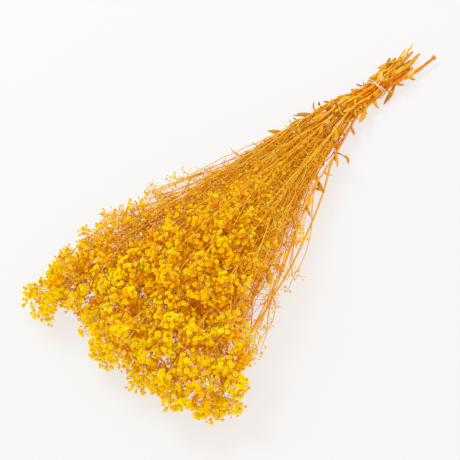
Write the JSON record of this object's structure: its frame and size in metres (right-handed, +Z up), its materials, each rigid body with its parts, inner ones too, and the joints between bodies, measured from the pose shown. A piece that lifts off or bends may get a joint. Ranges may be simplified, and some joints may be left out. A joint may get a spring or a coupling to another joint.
{
  "type": "preserved gypsophila bunch",
  "caption": "Tied bunch of preserved gypsophila lying on its side, slim stems fanning from a string tie into a broad, airy head of small double florets.",
  "frame": {"origin": "on the surface the bunch lies on, under the middle of its outline", "axes": "+X along the bunch towards the cut ends, -X towards the head; +Z up from the surface"},
  "size_m": [0.609, 0.2739, 0.1028],
  "materials": {
    "floret": "matt, dyed warm yellow petals",
    "stem": "satin, golden brown dried stem",
    "leaf": "matt, golden dried leaf",
    "string": "matt, cream twisted fibre"
  },
  "bodies": {
    "root": {"spray_01": "floret", "spray_02": "floret", "spray_03": "floret", "spray_04": "floret", "spray_05": "floret", "spray_06": "floret", "spray_07": "floret", "spray_08": "floret", "spray_09": "floret", "spray_10": "floret", "spray_11": "floret", "spray_12": "floret", "spray_13": "floret", "spray_14": "floret", "spray_15": "floret", "spray_16": "floret", "spray_17": "floret", "spray_18": "floret", "spray_19": "floret", "spray_20": "floret", "tie": "string"}
  },
  "joints": []
}
